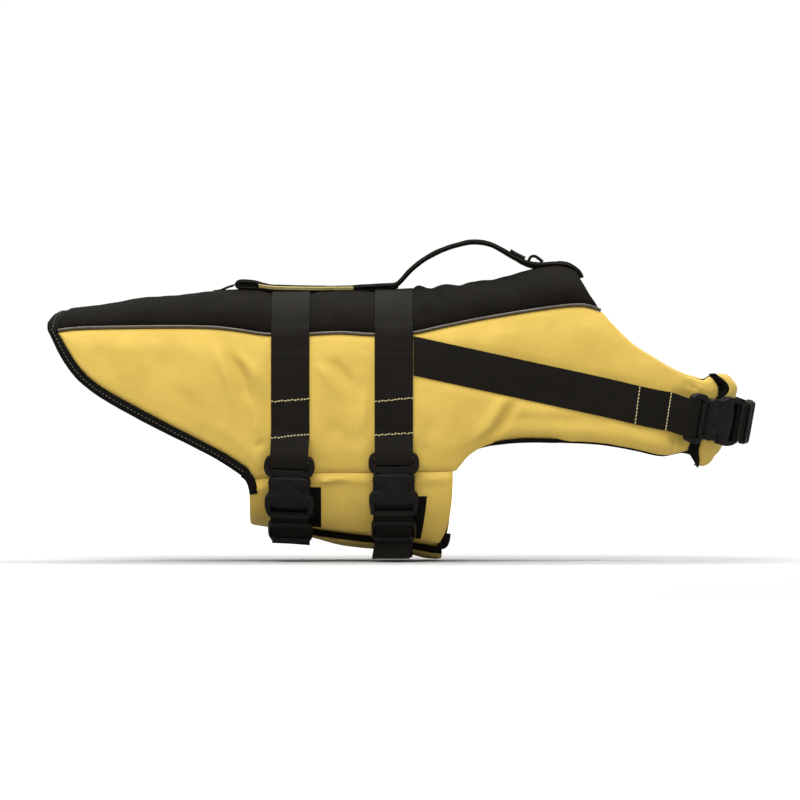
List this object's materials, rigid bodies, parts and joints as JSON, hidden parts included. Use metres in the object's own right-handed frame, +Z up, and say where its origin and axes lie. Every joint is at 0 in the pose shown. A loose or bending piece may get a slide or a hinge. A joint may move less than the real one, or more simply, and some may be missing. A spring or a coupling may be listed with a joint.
{
  "type": "dog life jacket",
  "caption": "Filled-out dog life jacket: padded back panel, side panels, lapped belly flaps, strap rings with side-release buckles and a grab handle.",
  "frame": {"origin": "inner face of the back panel on the dog's spine line, between the two belly straps, where the jacket rests on the wearer's back", "axes": "+X towards the head, +Y to the dog's left, +Z up; the buckles are on the -Y side"},
  "size_m": [0.7452, 0.2031, 0.3367],
  "materials": {
    "back_cloth": "black woven nylon with a slight sheen",
    "side_cloth": "pale yellow woven nylon",
    "piping": "grey reflective piping",
    "binding": "black woven binding tape",
    "loop_tape": "black loop tape, matt nap",
    "webbing": "black ribbed webbing",
    "tab_web": "grey flat tape",
    "buckle_plastic": "black moulded acetal, semi-gloss"
  },
  "bodies": {
    "root": {"back_panel": "back_cloth", "rear_binding": "binding", "side_panel_right": "side_cloth", "side_panel_left": "side_cloth", "piping_right": "piping", "piping_left": "piping", "leg_binding_right": "binding", "leg_binding_left": "binding", "belly_flap_right": "side_cloth", "belly_flap_left": "side_cloth", "belly_binding": "binding", "patch_rear": "loop_tape", "patch_front": "loop_tape", "belly_strap_rear": "webbing", "belly_strap_front": "webbing", "buckle_socket_rear": "buckle_plastic", "buckle_plug_rear": "buckle_plastic", "slider_rear": "buckle_plastic", "buckle_socket_front": "buckle_plastic", "buckle_plug_front": "buckle_plastic", "slider_front": "buckle_plastic", "chest_strap_right": "webbing", "chest_strap_left": "webbing", "buckle_socket_chest": "buckle_plastic", "buckle_plug_chest": "buckle_plastic", "slider_chest": "buckle_plastic", "lap_tape": "loop_tape", "handle": "back_cloth", "handle_front_tab": "tab_web", "handle_ring_web": "webbing", "handle_rear_tab": "webbing"}
  },
  "joints": []
}
